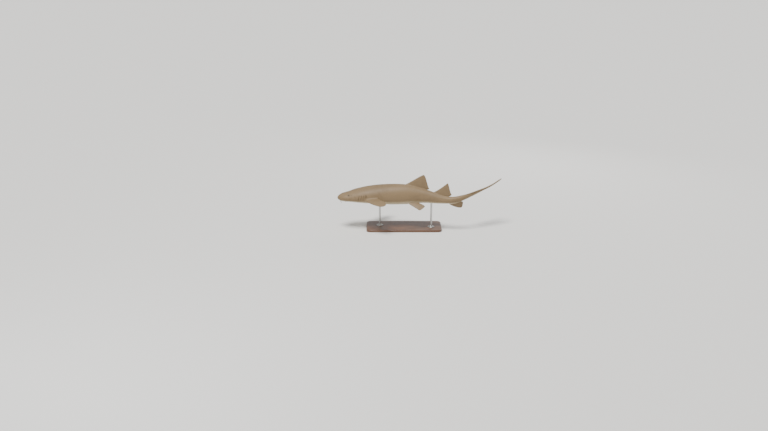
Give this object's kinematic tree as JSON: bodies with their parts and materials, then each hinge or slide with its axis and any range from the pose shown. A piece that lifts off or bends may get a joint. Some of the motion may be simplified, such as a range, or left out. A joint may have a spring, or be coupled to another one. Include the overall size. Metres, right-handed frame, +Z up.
{
  "type": "nurse shark",
  "caption": "Life-size still model of an adult nurse shark in a gentle swimming bend, held over a flat wooden base by upright steel rods.",
  "frame": {"origin": "middle of the underside of the stand's base", "axes": "-X is where the shark heads, -Y is its left side, +Z is up"},
  "size_m": [2.1894, 0.8081, 0.7382],
  "materials": {
    "shark_skin": "satin skin, sandy brown above and pale cream below",
    "eye": "glossy, dark with a narrow brown rim",
    "base_wood": "dark satin varnish",
    "rod_steel": "brushed"
  },
  "bodies": {
    "root": {"head": "shark_skin", "lower_jaw": "shark_skin", "trunk": "shark_skin", "tail_stock": "shark_skin", "caudal_fin": "shark_skin", "first_dorsal_fin": "shark_skin", "second_dorsal_fin": "shark_skin", "anal_fin": "shark_skin", "pectoral_fin_left": "shark_skin", "pectoral_fin_right": "shark_skin", "pelvic_fin_left": "shark_skin", "pelvic_fin_right": "shark_skin", "nasal_barbel_left": "shark_skin", "nasal_barbel_right": "shark_skin", "eye_left": "eye", "eye_right": "eye", "stand_base": "base_wood", "stand_rod_front": "rod_steel", "stand_rod_rear": "rod_steel", "stand_flange_front": "rod_steel", "stand_flange_rear": "rod_steel"}
  },
  "joints": []
}
